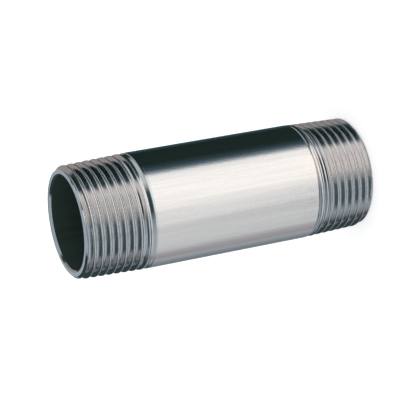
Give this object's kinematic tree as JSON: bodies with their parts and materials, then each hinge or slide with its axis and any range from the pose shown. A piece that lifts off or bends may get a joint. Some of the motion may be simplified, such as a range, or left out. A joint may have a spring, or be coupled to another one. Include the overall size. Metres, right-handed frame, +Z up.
{
  "type": "threaded pipe nipple",
  "caption": "Straight length of steel pipe with a taper pipe thread cut on each end, used to join and extend threaded fittings.",
  "frame": {"origin": "centre of the lower end face, where the nipple stands", "axes": "+Z up along the bore, from the end with the shorter thread to the end with the longer one; X and Y are any two directions across the pipe"},
  "size_m": [0.0336, 0.0337, 0.09],
  "materials": {
    "steel": "bright drawn, satin"
  },
  "bodies": {
    "root": {"nipple": "steel"}
  },
  "joints": []
}
